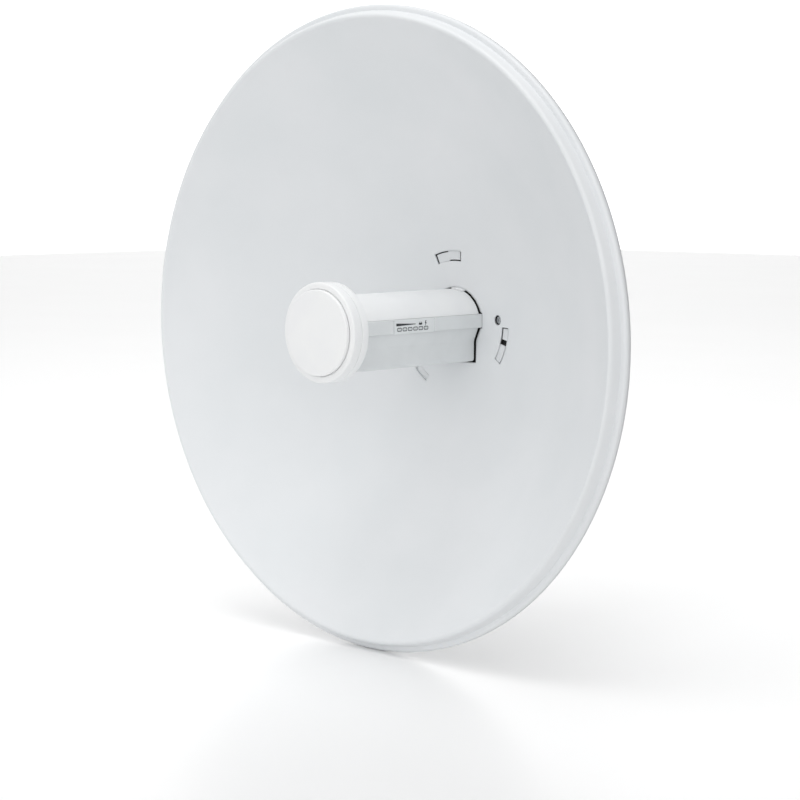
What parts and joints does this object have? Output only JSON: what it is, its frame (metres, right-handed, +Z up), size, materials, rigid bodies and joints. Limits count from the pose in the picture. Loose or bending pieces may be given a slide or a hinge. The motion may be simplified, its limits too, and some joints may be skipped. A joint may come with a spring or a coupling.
{
  "type": "parabolic dish antenna",
  "caption": "White round parabolic dish antenna with a rolled rim, a central feed tube with a round cap, a rear housing and a tilting pole bracket.",
  "frame": {"origin": "centre of the flat rear face of the pole bracket, on the axis of the feed", "axes": "+Y out of the pole bracket's rear face, away from the dish, which looks along -Y; +X to the right seen from the front; +Z up"},
  "size_m": [0.42, 0.2524, 0.42],
  "materials": {
    "dish_paint": "satin white powder coat",
    "feed_plastic": "satin white moulding",
    "band_plastic": "pale grey satin moulding",
    "label_film": "printed film",
    "indicator_lens": "clear lens over a dark light guide",
    "housing_plastic": "fine textured white moulding",
    "neck_seal": "matt black moulding",
    "gland_rubber": "matt black rubber",
    "bracket_paint": "white powder coat on folded steel",
    "plated_steel": "zinc plated"
  },
  "bodies": {
    "root": {"reflector": "dish_paint", "feed_cap_plate": "feed_plastic", "feed_cap_shell": "feed_plastic", "feed_cap_skirt": "feed_plastic", "feed_cap_collar": "feed_plastic", "feed_top_cover": "feed_plastic", "feed_core": "feed_plastic", "feed_bottom_cover": "band_plastic", "side_band_right": "band_plastic", "side_band_left": "band_plastic", "indicator_label": "label_film", "indicator_window_1": "indicator_lens", "indicator_window_2": "indicator_lens", "indicator_window_3": "indicator_lens", "indicator_window_4": "indicator_lens", "indicator_window_5": "indicator_lens", "indicator_window_6": "indicator_lens", "feed_catch": "feed_plastic", "feed_neck": "neck_seal", "hub_flange": "housing_plastic", "bayonet_tab_top": "housing_plastic", "bayonet_tab_right": "housing_plastic", "bayonet_tab_lower": "housing_plastic", "locking_screw": "plated_steel", "rear_housing": "housing_plastic", "rear_cover": "housing_plastic", "cable_door": "housing_plastic", "cable_gland": "gland_rubber", "tilt_base": "bracket_paint", "tilt_ear_right": "bracket_paint", "tilt_ear_left": "bracket_paint", "bracket_screw_1": "plated_steel", "bracket_screw_2": "plated_steel", "bracket_screw_3": "plated_steel", "bracket_screw_4": "plated_steel", "pole_plate": "bracket_paint", "pole_ear_right": "bracket_paint", "pole_ear_left": "bracket_paint", "pivot_bolt": "plated_steel", "pivot_nut": "plated_steel", "lock_bolt": "plated_steel", "lock_nut": "plated_steel"}
  },
  "joints": []
}
